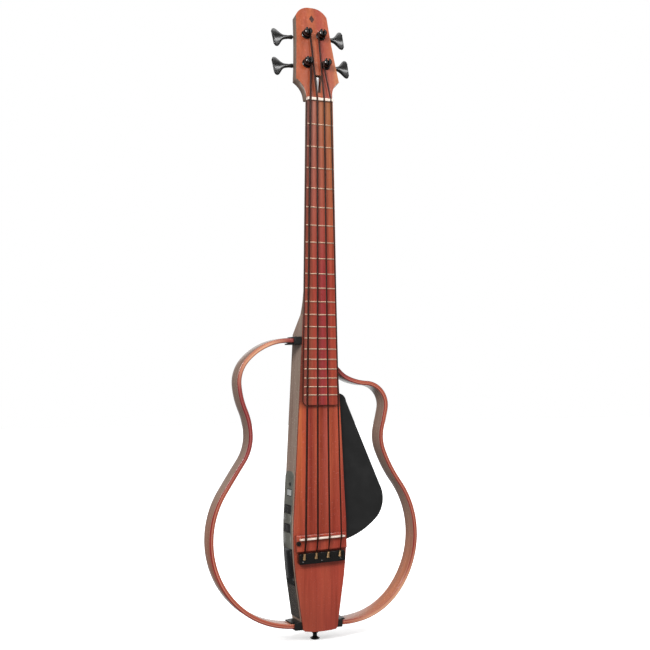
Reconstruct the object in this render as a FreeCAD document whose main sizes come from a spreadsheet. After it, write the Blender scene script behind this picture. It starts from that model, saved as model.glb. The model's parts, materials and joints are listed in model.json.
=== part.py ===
import FreeCAD, Part
import math
import os

from FreeCAD import Placement, Rotation, Vector

# A fretted four-string silent bass guitar: slim centre body, bolt-free neck, and two bent-wood
# frame bows that plug into sockets at the sides.
# Frame: millimetres. +Z runs up the neck, the strings face -Y, +X is to the right as seen from
# the front. The origin is the centre of the end button's seat on the bottom of the body.

doc = FreeCAD.newDocument("silent_bass")

# ---------------------------------------------------------------- driving dimensions

DIMENSIONS = {
    "scale_length": 762.0,
    "nut_height": 933.0,
    "fret_count": 20.0,
    "body_depth": 54.0,
    "front_board_depth": 4.0,
    "heel_height": 553.0,
    "body_top_half_width": 29.8,
    "body_waist_half_width": 47.8,
    "body_waist_height": 215.0,
    "body_bulge_half_width": 49.4,
    "body_bulge_height": 158.0,
    "body_low_half_width": 44.15,
    "body_low_height": 89.0,
    "body_foot_half_width": 32.6,
    "body_foot_height": 10.0,
    "nut_half_width": 24.4,
    "board_end_half_width": 32.8,
    "board_end_height": 393.5,
    "board_depth": 6.0,
    "fret_crown": 1.0,
    "neck_depth_nut": 14.0,
    "neck_depth_heel": 17.0,
    "head_tilt": 13.5,
    "head_depth": 18.0,
    "nut_length": 5.0,
    "frame_strip": 8.0,
    "frame_width": 34.0,
    "frame_front": -21.5,
    "tenon_thickness": 6.0,
    "socket_front": -24.0,
    "socket_width": 39.0,
    "socket_height": 14.0,
    "socket_reach": 46.0,
    "socket_reach_lower_right": 43.2,
    "saddle_height": 163.0,
    "saddle_slant": 2.1,
    "saddle_length": 83.0,
    "bridge_rise": 8.0,
    "saddle_rise": 15.0,
    "tailpiece_height": 129.0,
    "tailpiece_length": 86.0,
    "tailpiece_breadth": 18.3,
    "tailpiece_rise": 10.0,
    "panel_skin": 1.6,
    "plate_thickness": 3.0,
    "plate_front": -21.0,
    "post_radius": 4.2,
    "bush_clearance": 0.08,
    "jack_bore": 3.2,
}

sheet = doc.addObject("Spreadsheet::Sheet", "dimensions")
for row, (alias, amount) in enumerate(DIMENSIONS.items(), start=1):
    sheet.set("A%d" % row, alias)
    sheet.set("B%d" % row, str(amount))
    sheet.setAlias("B%d" % row, alias)
doc.recompute()


def size(alias):
    """The sheet's value for an alias."""
    return float(sheet.get(alias))


def cell(alias):
    """The alias as an expression."""
    return "dimensions." + alias


FRONT = -size("body_depth") / 2
BACK = size("body_depth") / 2
BOARD_TOP = FRONT - size("board_depth")
FRET_TOP = BOARD_TOP - size("fret_crown")
NUT_Z = size("nut_height")
NODES = []


# ---------------------------------------------------------------- helpers

def keep(feature, label):
    """Name a finished sub-part; its label is its node and file name."""
    feature.Label = label
    NODES.append(feature)
    return feature


def shape_node(label, shape):
    """A sub-part whose shape comes from Part's own functions."""
    feature = doc.addObject("Part::Feature", label)
    feature.Shape = shape
    feature.Placement = shape.Placement
    return keep(feature, label)


def set_sizes(feature, **expressions):
    for prop, expression in expressions.items():
        feature.setExpression(prop, str(expression))
    return feature


def box(name, low, **expressions):
    """Part::Box from its low corner; Length, Width and Height are expressions."""
    feature = doc.addObject("Part::Box", name)
    feature.Placement = Placement(Vector(*low), Rotation())
    return set_sizes(feature, **expressions)


def slab(low, high):
    """A plain box shape between two corners."""
    low = Vector(*low)
    span = Vector(*high) - low
    return Part.makeBox(span.x, span.y, span.z, low)


def rod(start, axis, radius, length):
    return Part.makeCylinder(radius, length, Vector(*start), Vector(*axis))


def plane_face(edges):
    return Part.Face(Part.Wire(Part.__sortEdges__(edges)))


def edge(*points):
    """A line through two points or an arc through three."""
    if len(points) == 2:
        return Part.LineSegment(*points).toShape()
    return Part.Arc(*points).toShape()


def turned(profile):
    """Revolve a closed (radius, height) profile about Z."""
    points = [Vector(r, 0, h) for r, h in profile]
    wire = Part.makePolygon(points + [points[0]])
    return Part.Face(wire).revolve(Vector(), Vector(0, 0, 1), 360)


def aim(shape, position, axis):
    """Turn a shape's +Z to an axis and move its origin to a position."""
    placed = shape.copy()
    turn = Rotation(Vector(0, 0, 1), Vector(*axis))
    placed.Placement = Placement(Vector(*position), turn).multiply(shape.Placement)
    return placed


def softened(shape, radius, choose=lambda e: True):
    """Fillet the chosen edges, each as far as the solid allows."""
    edges = [e for e in shape.Edges if choose(e)]
    for share in (1.0, 0.6, 0.3):
        try:
            result = shape.makeFillet(radius * share, edges)
        except Exception:
            continue
        if result.isValid() and result.Volume > 0.5 * shape.Volume:
            return result
    return shape


def origin_plane(body, role):
    return next(f for f in body.Origin.OriginFeatures if f.Role == role)


def pad_body(label, edges, offset, length, reverse=True):
    """PartDesign::Body with one sketch on its own XZ plane and one pad.

    edges hold Part geometry in the sketch's (x, z) plane; offset and length are expressions.
    """
    body = doc.addObject("PartDesign::Body", label)
    sketch = body.newObject("Sketcher::SketchObject", label + "_sketch")
    sketch.AttachmentSupport = [(origin_plane(body, "XZ_Plane"), "")]
    sketch.MapMode = "FlatFace"
    sketch.setExpression("AttachmentOffset.Base.z", offset)
    sketch.addGeometry(edges, False)
    pad = body.newObject("PartDesign::Pad", label + "_pad")
    pad.Profile = sketch
    pad.Reversed = reverse
    pad.setExpression("Length", length)
    sketch.Visibility = False
    doc.recompute()
    return body


def flat(x, z):
    """A point in a sketch on the XZ plane."""
    return Vector(x, z, 0)


# ---------------------------------------------------------------- body outline

def half_outline(side):
    """Right or left half of the body's outline from the bottom centre to the heel."""
    foot = flat(side * size("body_foot_half_width"), size("body_foot_height"))
    low = flat(side * size("body_low_half_width"), size("body_low_height"))
    bulge = flat(side * size("body_bulge_half_width"), size("body_bulge_height"))
    waist = flat(side * size("body_waist_half_width"), size("body_waist_height"))
    top = flat(side * size("body_top_half_width"), size("heel_height"))
    corner = flat(side * 28.5, 2.0)
    corner_mid = flat(side * 31.3, 4.8)
    return [
        Part.Arc(corner, corner_mid, foot),
        Part.LineSegment(foot, low),
        Part.Arc(low, bulge, waist),
        Part.LineSegment(waist, top),
    ]


def body_outline():
    bottom = Part.Arc(flat(-28.5, 2.0), flat(0, 0), flat(28.5, 2.0))
    heel_z = size("heel_height")
    top_x = size("body_top_half_width")
    heel = Part.LineSegment(flat(-top_x, heel_z), flat(top_x, heel_z))
    return half_outline(1) + half_outline(-1) + [bottom, heel]


def outline_prism(front, back, outset=0.0):
    """The body outline as a solid between two depths, grown by an outset."""
    edges = [g.toShape() for g in body_outline()]
    for e in edges:
        e.rotate(Vector(), Vector(1, 0, 0), 90)
    wire = Part.Wire(Part.__sortEdges__(edges))
    if outset:
        wire = wire.makeOffset2D(outset)
    face = Part.Face(wire)
    face.translate(Vector(0, front, 0))
    return face.extrude(Vector(0, back - front, 0))


def wall_x(z):
    """Half width of the body at a height."""
    line = Part.LineSegment(Vector(0, 0, z), Vector(80, 0, z)).toShape()
    for g in half_outline(1):
        e = g.toShape()
        e.rotate(Vector(), Vector(1, 0, 0), 90)
        gap, pairs, _ = e.distToShape(line)
        if gap < 1e-4:
            return pairs[0][0].x
    raise ValueError("no wall at %s" % z)


# ---------------------------------------------------------------- where things sit

HEEL_BACK = FRONT + size("neck_depth_heel")
CAVITY = ((-60, -14, 84), (-11, 19.5, 268))
JACK_AT = (14.0, 14.0)
JACK_SEAT_Z = 1.2
JACK_TOP = JACK_SEAT_Z + 22.0
CABLE_WAYS = (
    ((9, 8, JACK_TOP - 1), (19, 19, 80)),
    ((-12, 5, 68), (19, 16, 114)),
    ((-12, 4, 90), (-8.5, 14, 125)),
)
LOW_SOCKET_Z = 11.0
HIGH_SOCKET_Z = 506.5
RIGHT_TENON_Z = 461.0
SLEEVE_X = 19.0
END_SCREW = (3.0, 26.0)
TRUSS_Y = -19.5
PICKUP_HOLE_X = -30.0

WHEELS = {"volume_wheel": 211.0, "tone_wheel": 178.0}
WHEEL_RADIUS = 15.0
WHEEL_HALF = 6.5
WHEEL_PROUD = 3.0
WHEEL_Y = 2.0
BEZEL_HALF = (17.0, 7.6)
BUTTON_AT = (-4.0, 255.0)
BRACKET_Z = (205.0, 350.0)


# ---------------------------------------------------------------- body and neck

def heel_wedge():
    """What is cut away behind the heel: everything behind a 45 degree slope."""
    rise = BACK - HEEL_BACK
    top = size("heel_height")
    points = [(BACK, top - rise), (HEEL_BACK, top), (HEEL_BACK, top + 20), (BACK + 30, top + 20),
              (BACK + 30, top - rise - 30)]
    wire = Part.makePolygon([Vector(-60, y, z) for y, z in points + points[:1]])
    return Part.Face(wire).extrude(Vector(120, 0, 0))


def neck_tenon(grow=0.0):
    return slab((-20 - grow, FRONT + 4.0, 470 - grow), (20 + grow, HEEL_BACK - 2.0 + grow, 560))


def make_front_board():
    body = pad_body("front_board", body_outline(), cell("body_depth") + " / 2",
                    cell("front_board_depth"))
    keep(body, "front_board")


def make_body_core():
    """Deep centre block with the cavities for electronics, jack, sleeve and neck tenon."""
    inner_front = FRONT + size("front_board_depth")
    core = outline_prism(inner_front, BACK).cut(heel_wedge())
    core = softened(core, 3.0, lambda e: e.BoundBox.YMin > BACK - 0.1 and e.BoundBox.ZLength > 1)
    cuts = [slab(*CAVITY), neck_tenon()]
    cuts += [slab(*way) for way in CABLE_WAYS]
    cuts.append(rod((*JACK_AT, -1), (0, 0, 1), 5.8, JACK_TOP + 1.2))
    cuts.append(rod((*JACK_AT, -1), (0, 0, 1), 8.0, JACK_SEAT_Z + 1))
    cuts.append(rod((0, 0, -1), (0, 0, 1), END_SCREW[0], END_SCREW[1] + 1))
    cuts.append(slab((SLEEVE_X, -22, 454), (60, 13, 468)))
    cuts.append(rod((28, 12, RIGHT_TENON_Z), (0, 1, 0), 2.4, 20))
    cuts.append(rod((PICKUP_HOLE_X, inner_front - 1, 160), (0, 1, 0), 1.6, 12))
    cuts.append(rod((0, TRUSS_Y, 430), (0, 0, 1), 2.8, 60))
    heel_mid_y = (BACK + HEEL_BACK) / 2
    heel_mid_z = size("heel_height") - (BACK - HEEL_BACK) / 2
    cuts.append(rod((0, heel_mid_y - 14, heel_mid_z - 14), (0, 1, 1), 2.0, 30))
    for z in BRACKET_Z:
        cuts.append(rod((wall_x(z) - 9, 0, z), (1, 0, 0), 1.6, 20))
    shape_node("body_core", core.cut(cuts))


def head_point(u, w, depth=0.0):
    """A point on the tilted headstock: u across, w up its face, depth behind the face."""
    tilt = math.radians(size("head_tilt"))
    start = Vector(0, FRONT - 3, NUT_Z + size("nut_length"))
    up = Vector(0, math.sin(tilt), math.cos(tilt))
    inward = Vector(0, math.cos(tilt), -math.sin(tilt))
    return start + Vector(u, 0, 0) + up * w + inward * depth


HEAD_OUT = head_point(0, 0, -1) - head_point(0, 0, 0)
POSTS = {"e": (-18.0, 67.4), "a": (-14.0, 126.0), "d": (14.0, 126.0), "g": (18.0, 67.4)}
GEAR_RADIUS = 5.6
WORM_RADIUS = 2.6
WORM_OFFSET = GEAR_RADIUS + WORM_RADIUS + 0.3
KEY_DEPTH = 5.6
TUNER_LEAN_DEG = {-1: 7.0, 1: 1.7}


def head_slab():
    """Rounded top, slightly waisted sides, horns, and a concave run down to the nut."""
    face_line = [
        [(24.6, 0), (25.2, 6)],
        [(25.2, 6), (28.8, 21.5), (41.3, 36)],
        [(41.3, 36), (34.6, 100), (30, 165)],
        [(30, 165), (18.6, 178.2), (0, 182.3)],
    ]
    edges = []
    for side in (1, -1):
        for points in face_line:
            edges.append(edge(*[head_point(side * u, w) for u, w in points]))
    edges.append(edge(head_point(-24.6, 0), head_point(24.6, 0)))
    return plane_face(edges).extrude(HEAD_OUT * -size("head_depth"))


def neck_section(z, half, depth):
    front = FRONT
    side = front + 3.5
    left, right = -half, half
    return Part.Wire([
        edge(Vector(left, front, z), Vector(right, front, z)),
        edge(Vector(right, front, z), Vector(right, side, z)),
        edge(Vector(right, side, z), Vector(0, front + depth, z), Vector(left, side, z)),
        edge(Vector(left, side, z), Vector(left, front, z)),
    ])


def truss_pocket():
    points = [(-2.6, 11), (3.0, 11), (8.8, 43), (7.0, 46.5), (-2.8, 46.5), (-3.8, 44)]
    corners = [head_point(u, w, -1) for u, w in points]
    return Part.Face(Part.makePolygon(corners + corners[:1])).extrude(HEAD_OUT * -10.5)


def heel_fairing():
    """Square-sided swelling above the heel that runs out into the round of the neck."""
    sections = []
    for rise, depth in ((0.0, 17.0), (9.0, 12.4), (22.0, 7.4), (40.0, 3.6)):
        z = size("heel_height") + rise
        half = size("body_top_half_width") - 0.014 * rise
        back = FRONT + depth
        corners = [Vector(x, y, z) for x, y in ((-half, FRONT), (half, FRONT), (half, back),
                                                (-half, back))]
        sections.append(Part.makePolygon(corners + corners[:1]))
    return Part.makeLoft(sections, True, True)


def make_neck():
    heel_z = size("heel_height")
    shaft = Part.makeLoft([
        neck_section(heel_z, size("body_top_half_width"), size("neck_depth_heel")),
        neck_section(NUT_Z + 4, size("nut_half_width"), size("neck_depth_nut")),
    ], True, True)
    back_face = head_point(0, 0, size("head_depth"))
    head = softened(head_slab(), 1.5,
                    lambda e: abs((e.CenterOfMass - back_face).dot(HEAD_OUT)) < 0.1)
    neck = shaft.fuse([head, neck_tenon(), heel_fairing()]).removeSplitter()
    nut_z = (NUT_Z, NUT_Z + size("nut_length"))
    cuts = [slab((-40, -50, nut_z[0]), (40, FRONT, nut_z[1]))]
    cuts.append(slab((-40, -50, 900), (40, FRONT, NUT_Z)))
    cuts.append(truss_pocket())
    cuts.append(rod((0, TRUSS_Y, 430), (0, 0, 1), 2.8, 535))
    cuts.append(rod((0, TRUSS_Y, NUT_Z + 4), (0, 0, 1), 3.4, 42))
    for u, w in POSTS.values():
        cuts.append(rod(head_point(u, w, -1), HEAD_OUT * -1, 6.6, 30))
    cuts.append(inlay_shape(0.0))
    shape_node("neck", neck.cut(cuts))


def inlay_shape(inset):
    """A plain diamond set into the headstock."""
    points = [(0, 151.5 + inset), (5 - inset, 159.5), (0, 167.5 - inset), (-5 + inset, 159.5)]
    corners = [head_point(u, w) for u, w in points]
    return Part.Face(Part.makePolygon(corners + corners[:1])).extrude(HEAD_OUT * -1.5)


def make_fretboard():
    nut_x, end_x = size("nut_half_width"), size("board_end_half_width")
    end_z = size("board_end_height")
    corner = 6.0
    points = [flat(nut_x, NUT_Z), flat(end_x, end_z + corner), flat(end_x - corner, end_z),
              flat(-end_x + corner, end_z), flat(-end_x, end_z + corner), flat(-nut_x, NUT_Z)]
    soft = corner * 0.3
    edges = [
        Part.LineSegment(points[5], points[0]),
        Part.LineSegment(points[0], points[1]),
        Part.Arc(points[1], flat(end_x - soft, end_z + soft), points[2]),
        Part.LineSegment(points[2], points[3]),
        Part.Arc(points[3], flat(-end_x + soft, end_z + soft), points[4]),
        Part.LineSegment(points[4], points[5]),
    ]
    body = pad_body("fretboard", edges, "%s / 2 + %s" % (cell("body_depth"), cell("board_depth")),
                    cell("board_depth"))
    keep(body, "fretboard")


def board_half_width(z):
    share = (NUT_Z - z) / (NUT_Z - size("board_end_height"))
    return size("nut_half_width") + share * (size("board_end_half_width") - size("nut_half_width"))


def make_frets():
    """Half-round crowns at equal-tempered distances from the nut."""
    crowns = []
    foot = 1.15
    for number in range(1, int(size("fret_count")) + 1):
        z = NUT_Z - size("scale_length") * (1 - 2 ** (-number / 12))
        half = board_half_width(z) - 0.4
        ends = [Vector(-half, BOARD_TOP, z - foot), Vector(-half, BOARD_TOP, z + foot)]
        arc = edge(ends[0], Vector(-half, FRET_TOP, z), ends[1])
        face = Part.Face(Part.Wire([arc, edge(ends[1], ends[0])]))
        crowns.append(face.extrude(Vector(2 * half, 0, 0)))
    shape_node("frets", Part.makeCompound(crowns))


def make_truss_rod():
    rod_feature = doc.addObject("Part::Cylinder", "truss_rod")
    rod_feature.Radius = 2.5
    rod_feature.setExpression("Height", cell("nut_height") + " + 5 - 432")
    rod_feature.Placement = Placement(Vector(0, TRUSS_Y, 432), Rotation())
    keep(rod_feature, "truss_rod")
    low = NUT_Z + 5.0
    top = low + 40.0
    body = turned([(0, low), (1.6, low), (1.0, low + 8), (3.0, top - 4), (3.0, top - 1), (2.2, top),
                   (0, top)])
    sides = [Vector(1.5 * math.cos(math.radians(a)), 1.5 * math.sin(math.radians(a)), top - 5)
             for a in range(0, 360, 60)]
    key_hole = Part.Face(Part.makePolygon(sides + sides[:1])).extrude(Vector(0, 0, 10))
    nut = body.cut(key_hole)
    nut.translate(Vector(0, TRUSS_Y, 0))
    shape_node("truss_rod_nut", nut)


# ---------------------------------------------------------------- strings and bridge

STRING_RADII = {"e": 1.9, "a": 1.7, "d": 1.5, "g": 1.3}
SADDLE_X = {"e": -33.3, "a": -11.1, "d": 11.1, "g": 33.3}
NUT_X = {"e": -19.6, "a": -6.6, "d": 6.6, "g": 19.6}
NUT_CLEAR = 0.5


def slanted(z, x):
    """Height of a slanted bridge line at x."""
    return z + x * math.tan(math.radians(size("saddle_slant")))


def slant(shape, z):
    turned_shape = shape.copy()
    turned_shape.rotate(Vector(0, 0, z), Vector(0, 1, 0), -size("saddle_slant"))
    return turned_shape


def string_points(name):
    """Tailpiece, saddle top and nut slot of a string's centre line."""
    radius = STRING_RADII[name]
    x = SADDLE_X[name]
    tail = Vector(x, FRONT - 8.2 - radius, slanted(size("tailpiece_height") + 5.5, x))
    saddle = Vector(x, FRONT - size("saddle_rise") - radius, slanted(size("saddle_height"), x))
    nut = Vector(NUT_X[name], FRET_TOP - NUT_CLEAR - radius, NUT_Z + 1.5)
    return tail, saddle, nut


def arc_corner(before, corner, after, radius):
    """Start, middle and end of the arc that rounds a corner."""
    a = (before - corner).normalize()
    b = (after - corner).normalize()
    half_angle = a.getAngle(b) / 2
    reach = radius / math.tan(half_angle)
    bisector = (a + b).normalize()
    middle = corner + bisector * (radius / math.sin(half_angle) - radius)
    return corner + a * reach, middle, corner + b * reach


def tube(edges, radius):
    """Sweep a round section along straight runs and tangent arcs."""
    wire = Part.Wire(edges)
    start = edges[0].valueAt(edges[0].FirstParameter)
    heading = edges[0].tangentAt(edges[0].FirstParameter)
    section = Part.Wire(Part.makeCircle(radius, start, heading))
    solid = wire.makePipeShell([section], True, True)
    expected = math.pi * radius ** 2 * wire.Length
    print("tube volume / expected %.3f" % (solid.Volume / expected))
    return solid


def rounded_route(points, radii):
    """Straight runs joined by tangent arcs, one radius for each inner point."""
    edges = []
    here = points[0]
    for index, radius in enumerate(radii, start=1):
        start, middle, end = arc_corner(points[index - 1], points[index], points[index + 1], radius)
        edges.append(edge(here, start))
        edges.append(edge(start, middle, end))
        here = end
    return edges, here


def make_strings():
    """Each string runs over the saddle and nut and takes its first turn round its post."""
    for name, radius in STRING_RADII.items():
        tail, saddle, nut = string_points(name)
        u, w = POSTS[name]
        side = -1 if u < 0 else 1
        wind = size("post_radius") + radius + 0.15
        depth = (nut - head_point(0, 0)).dot(HEAD_OUT) * -1
        nut_w = (nut - head_point(0, 0)).dot(head_point(0, 1) - head_point(0, 0))
        across, along = u - nut.x, w - nut_w
        distance = math.hypot(across, along)
        bearing = math.atan2(along, across)
        lean = math.asin(wind / distance)
        heading = bearing + side * lean
        reach = math.sqrt(distance ** 2 - wind ** 2)
        touch = (nut.x + reach * math.cos(heading), nut_w + reach * math.sin(heading))
        touch_point = head_point(touch[0], touch[1], depth)
        edges, here = rounded_route([tail, saddle, nut, touch_point], [30.0, 30.0])
        edges.append(edge(here, touch_point))
        start_angle = math.atan2(touch[1] - w, touch[0] - u)
        turn = math.radians(300) * -side
        ring = [head_point(u + wind * math.cos(start_angle + turn * share),
                           w + wind * math.sin(start_angle + turn * share), depth)
                for share in (0, 0.25, 0.5, 0.75, 1)]
        edges.append(edge(ring[0], ring[1], ring[2]))
        edges.append(edge(ring[2], ring[3], ring[4]))
        pieces = [tube(edges, radius)]
        upper = head_point(u, w, depth - 2 * radius - 0.1)
        pieces.append(Part.makeTorus(wind, radius, upper, HEAD_OUT))
        shape_node("string_" + name, Part.makeCompound(pieces))


def make_nut():
    block = slab((-size("nut_half_width"), FRET_TOP - 2.4, NUT_Z),
                 (size("nut_half_width"), FRONT, NUT_Z + size("nut_length")))
    block = softened(block, 0.8, lambda e: e.BoundBox.YMax < FRET_TOP)
    for name, radius in STRING_RADII.items():
        _, saddle, nut = string_points(name)
        along = (nut - saddle).normalize()
        block = block.cut(rod(nut - along * 8, along, radius + 0.3, 9.5))
        back = (head_point(POSTS[name][0] * 0.9, POSTS[name][1], -5.6) - nut).normalize()
        block = block.cut(rod(nut - back, back, radius + 0.3, 12))
    shape_node("nut", block)


def make_bridge():
    z = size("saddle_height")
    half = size("saddle_length") / 2
    top = FRONT - size("bridge_rise")
    base = slab((-47.3, top, z - 22), (47.3, FRONT, z + 7))
    base = softened(base, 3.0, lambda e: abs(e.CenterOfMass.y - top) < 0.1)
    groove = slab((-half - 0.2, top - 5, z - 1.75), (half + 0.2, FRONT - 2.5, z + 1.75))
    bolt_hole = rod((-44.0, top - 5, z - 6.5), (0, 1, 0), 2.2, 16)
    wire_way = rod((PICKUP_HOLE_X, -40, z), (0, 1, 0), 1.6, 20)
    shape_node("bridge_base", slant(base.cut([groove, bolt_hole]), z).cut(wire_way))
    crest = FRONT - size("saddle_rise") + 0.45
    saddle = slab((-half, crest, z - 1.6), (half, FRONT - 3.8, z + 1.6))
    saddle = softened(saddle, 1.0, lambda e: e.BoundBox.YMax < crest + 1)
    shape_node("saddle", slant(saddle, z))
    strip = slab((-half + 1, FRONT - 3.7, z - 1.4), (half - 1, FRONT - 2.6, z + 1.4))
    shape_node("pickup_strip", slant(strip, z))
    bolt = turned([(0, -3.0), (4.2, -3.0), (4.2, -0.6), (3.6, 0.4), (1.9, 0.4), (1.9, -0.8),
                   (0, -0.8)])
    bolt = bolt.fuse(rod((0, 0, -10.9), (0, 0, 1), 2.0, 8.9)).removeSplitter()
    bolt.translate(Vector(0, 0, 3.0))
    placed = aim(bolt, (-44.0, top, z - 6.5), (0, -1, 0))
    shape_node("bridge_lock_bolt", slant(placed, z))


TAILPIECE_SCREW_X = (-35.0, 0.0, 35.0)


def make_tailpiece():
    z = size("tailpiece_height")
    half = size("tailpiece_length") / 2
    breadth = size("tailpiece_breadth") / 2
    top = FRONT - size("tailpiece_rise")
    block = slab((-half, top, z - breadth), (half, FRONT, z + breadth))
    block = softened(block, 3.0, lambda e: e.BoundBox.YLength > 5)
    block = softened(block, 1.0, lambda e: abs(e.CenterOfMass.y - top) < 0.1)
    block = slant(block, z)
    cones = []
    for name, x in SADDLE_X.items():
        tail, saddle, _ = string_points(name)
        hole_z = tail.z - 3.7
        block = block.cut(rod((x, top - 5, hole_z), (0, 1, 0), 4.2, 11.5))
        block = block.cut(slab((x - 2.1, top - 5, hole_z), (x + 2.1, top + 4.6, hole_z + 20)))
        along = (saddle - tail).normalize()
        wrap = Part.makeCone(3.0, STRING_RADII[name] + 0.15, 6.5, tail - along * 6.6, along)
        cones.append(wrap)
    for x in TAILPIECE_SCREW_X:
        block = block.cut(rod((x, top - 5, slanted(z - 5.4, x)), (0, 1, 0), 1.35, 20))
    shape_node("tailpiece", block)
    shape_node("string_ball_ends", Part.makeCompound(cones))
    screws = []
    for x in TAILPIECE_SCREW_X:
        head = turned([(0, 0), (2.4, 0), (2.4, 0.5), (1.2, 1.3), (0, 1.3)])
        screw = head.fuse(rod((0, 0, -20), (0, 0, 1), 1.3, 20.5)).removeSplitter()
        screws.append(aim(screw, (x, top, slanted(z - 5.4, x)), (0, -1, 0)))
    shape_node("tailpiece_screws", Part.makeCompound(screws))


# ---------------------------------------------------------------- tuners

def head_aim(shape, u, w, depth=0.0):
    """Place a shape made along +Z with that axis out of the headstock's face."""
    placed = shape.copy()
    turn = Rotation(Vector(0, 0, 1), HEAD_OUT)
    placed.Placement = Placement(head_point(u, w, depth), turn).multiply(shape.Placement)
    return placed


def bushing():
    bore = size("post_radius") + size("bush_clearance")
    back = -size("head_depth")
    return turned([(bore, back), (6.5, back), (6.5, 0), (8.8, 0), (8.8, 1.4), (7.6, 2.4), (bore, 2.4)])


def string_post():
    """Post, flared cap, and the worm wheel pinned to its lower end."""
    radius = size("post_radius")
    back = -size("head_depth")
    post = turned([(0, back - 8.6), (radius, back - 8.6), (radius, 12.6), (7.0, 13.8), (7.0, 15.2),
                   (5.6, 16.2), (0, 16.2)])
    post = post.cut(slab((-1.6, -9, 11.0), (1.6, 9, 18)))
    teeth = 16
    wheel = Part.makeCylinder(GEAR_RADIUS, 5.0, Vector(0, 0, back - 8.2))
    for index in range(teeth):
        angle = 2 * math.pi * index / teeth
        spot = Vector(GEAR_RADIUS * math.cos(angle), GEAR_RADIUS * math.sin(angle), back - 9)
        wheel = wheel.cut(Part.makeCylinder(0.6, 7, spot))
    return post.fuse(wheel).removeSplitter()


KEY_START = 27.0
KEY_LENGTH = 28.0


def key_outline():
    """Two-lobed key seen flat, its stem at x = 0 and its end at x = KEY_LENGTH."""
    run = [
        [(0, 3.3), (11.5, 5.4), (17.6, 12.4)],
        [(17.6, 12.4), (23.2, 18.0), (KEY_LENGTH, 14.0)],
        [(KEY_LENGTH, 14.0), (26.6, 6.6), (26.2, 0)],
    ]
    edges = []
    for side in (1, -1):
        for points in run:
            edges.append(edge(*[Vector(x, side * y, 0) for x, y in points]))
    edges.append(edge(Vector(0, 3.3, 0), Vector(0, -3.3, 0)))
    return plane_face(edges)


def tuner_key(side):
    """Key, stem and worm on one shaft along X, worm centred on x = 0."""
    paddle = key_outline().extrude(Vector(0, 0, 7.0))
    paddle.translate(Vector(KEY_START, 0, -3.5))
    paddle = softened(paddle, 2.6, lambda e: abs(abs(e.CenterOfMass.z) - 3.5) < 0.1)
    shaft = rod((-13, 0, 0), (1, 0, 0), 2.0, 45)
    stem = Part.makeCone(4.0, 3.1, 12, Vector(17.6, 0, 0), Vector(1, 0, 0))
    worm = [Part.makeCylinder(WORM_RADIUS, 1.3, Vector(x, 0, 0), Vector(1, 0, 0))
            for x in (-6.4, -4.3, -2.2, -0.1, 2.0, 4.1)]
    core = rod((-6.4, 0, 0), (1, 0, 0), 2.2, 11.8)
    key = shaft.fuse([paddle, stem, core] + worm).removeSplitter()
    if side < 0:
        key = key.mirror(Vector(), Vector(1, 0, 0))
    return key


TUNER_SCREWS = ((-9.5, -9.5), (9.5, -9.5), (0, 16.8))


def tuner_plate(side):
    """Base plate behind the headstock with two ears that carry the worm shaft."""
    plate = slab((-13, -13, -2), (13, 20, 0))
    plate = softened(plate, 4.0, lambda e: e.BoundBox.ZLength > 1.5)
    for x in (-12.4, 7.8):
        ear = slab((x, WORM_OFFSET - 4.5, -9.5), (x + 4.6, WORM_OFFSET + 4.5, -1))
        plate = plate.fuse(ear)
    bore = 2.0 + size("bush_clearance")
    plate = plate.cut(rod((-30, WORM_OFFSET, -KEY_DEPTH), (1, 0, 0), bore, 60))
    plate = plate.cut(rod((0, 0, -20), (0, 0, 1), size("post_radius") + 0.1, 30))
    for x, y in TUNER_SCREWS:
        plate = plate.cut(rod((x, y, -20), (0, 0, 1), 1.2, 30))
    if side < 0:
        plate = plate.mirror(Vector(), Vector(1, 0, 0))
    return plate.removeSplitter()


def make_tuners():
    depth = size("head_depth")
    bushings, plates, screws = [], [], []
    head_turn = Rotation(Vector(1, 0, 0), head_point(0, 1) - head_point(0, 0), HEAD_OUT, "ZXY")
    for name, (u, w) in POSTS.items():
        side = -1 if u < 0 else 1
        lean = TUNER_LEAN_DEG[side]
        turn = head_turn.multiply(Rotation(Vector(0, 0, 1), lean))
        bushings.append(head_aim(bushing(), u, w))
        behind = Placement(head_point(u, w, depth), turn)
        plate = tuner_plate(side)
        plate.Placement = behind
        plates.append(plate)
        post = string_post()
        post.Placement = Placement(head_point(u, w), head_turn)
        shape_node("tuner_post_" + name, post)
        key = tuner_key(side)
        key.Placement = behind.multiply(Placement(Vector(0, WORM_OFFSET, -KEY_DEPTH), Rotation()))
        shape_node("tuner_key_" + name, key)
        for x, y in TUNER_SCREWS:
            screw = turned([(0, 0), (1.1, 0), (1.1, 9), (0, 9)]).fuse(
                turned([(0, 0), (2.1, 0), (2.1, -0.5), (1.2, -1.3), (0, -1.3)])).removeSplitter()
            screw.translate(Vector(side * x, y, -2.0))
            screw.Placement = behind.multiply(screw.Placement)
            screws.append(screw)
    shape_node("tuner_bushings", Part.makeCompound(bushings))
    shape_node("tuner_plates", Part.makeCompound(plates))
    shape_node("tuner_screws", Part.makeCompound(screws))


# ---------------------------------------------------------------- frame bows and sockets

LEFT_BOW = {
    "start": (-46.4, 506.5),
    "heading": 176.0,
    "points": [(-131.5, 472), (-146, 428.5), (-135, 385), (-125.5, 345), (-138.5, 297),
               (-172, 245), (-140, 46), (-95.5, 20.5), (-46.4, 11)],
}
RIGHT_BOW = {
    "start": (31.5, 464.3),
    "heading": -61.0,
    "points": [(43.5, 449), (56, 440.6), (93.5, 431.5), (130.5, 384.5), (123.5, 354), (126, 310),
               (157.5, 252.5), (188, 151.5), (152, 58), (78.5, 14), (43.6, 11)],
}


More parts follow.
